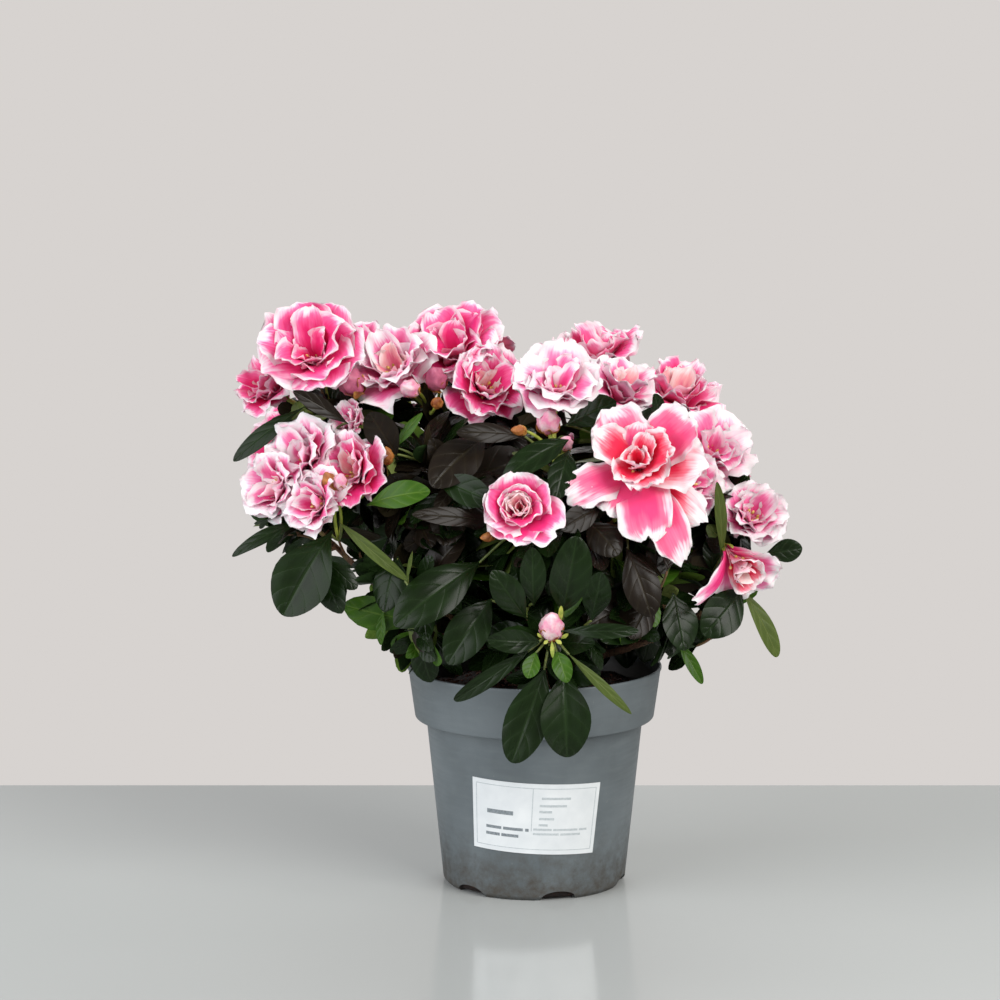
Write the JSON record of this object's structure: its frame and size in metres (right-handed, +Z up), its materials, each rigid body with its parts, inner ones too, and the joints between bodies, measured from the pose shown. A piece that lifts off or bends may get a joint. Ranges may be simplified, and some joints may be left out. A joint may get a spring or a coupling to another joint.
{
  "type": "potted azalea shrub",
  "caption": "Small bushy azalea in full bloom, with stem, boughs, leaf masses and double flowers, in a round tapered nursery pot.",
  "frame": {"origin": "centre of the pot's flat underside", "axes": "+Z up, -Y towards the front, where the label is, +X to the right seen from the front"},
  "size_m": [0.2678, 0.2195, 0.2679],
  "materials": {
    "pot_plastic": "satin",
    "peat": "matte",
    "label_paper": "satin",
    "bark": "matte",
    "leaf_green": "satin",
    "petal_pink": "matte"
  },
  "bodies": {
    "root": {"bough_back_left": "bark", "bough_back_low": "bark", "bough_back_mid": "bark", "bough_back_right": "bark", "bough_centre": "bark", "bough_centre_left": "bark", "bough_front_low": "bark", "bough_left_drop": "bark", "bough_left_high": "bark", "bough_left_low": "bark", "bough_right_front": "bark", "bough_right_high": "bark", "bough_right_low": "bark", "bough_top_mid": "bark", "bough_top_right": "bark", "flowers_back_centre": "petal_pink", "flowers_back_right": "petal_pink", "flowers_crown_mid": "petal_pink", "flowers_front_bud": "petal_pink", "flowers_front_centre": "petal_pink", "flowers_front_right": "petal_pink", "flowers_left": "petal_pink", "flowers_rear_left": "petal_pink", "flowers_rear_low_left": "petal_pink", "flowers_rear_low_right": "petal_pink", "flowers_rear_mid": "petal_pink", "flowers_rear_right": "petal_pink", "flowers_rear_top": "petal_pink", "flowers_rear_upper_left": "petal_pink", "flowers_right": "petal_pink", "flowers_right_low": "petal_pink", "flowers_right_mid": "petal_pink", "flowers_small_left": "petal_pink", "flowers_top_centre": "petal_pink", "flowers_upper_inner_left": "petal_pink", "flowers_upper_left": "petal_pink", "flowers_upper_mid": "petal_pink", "foliage_back_left": "leaf_green", "foliage_back_low": "leaf_green", "foliage_back_mid": "leaf_green", "foliage_back_right": "leaf_green", "foliage_centre": "leaf_green", "foliage_centre_left": "leaf_green", "foliage_front_low": "leaf_green", "foliage_left_drop": "leaf_green", "foliage_left_high": "leaf_green", "foliage_left_low": "leaf_green", "foliage_right_front": "leaf_green", "foliage_right_high": "leaf_green", "foliage_right_low": "leaf_green", "foliage_top_mid": "leaf_green", "foliage_top_right": "leaf_green", "label": "label_paper", "pot": "pot_plastic", "soil": "peat", "trunk": "bark"}
  },
  "joints": []
}
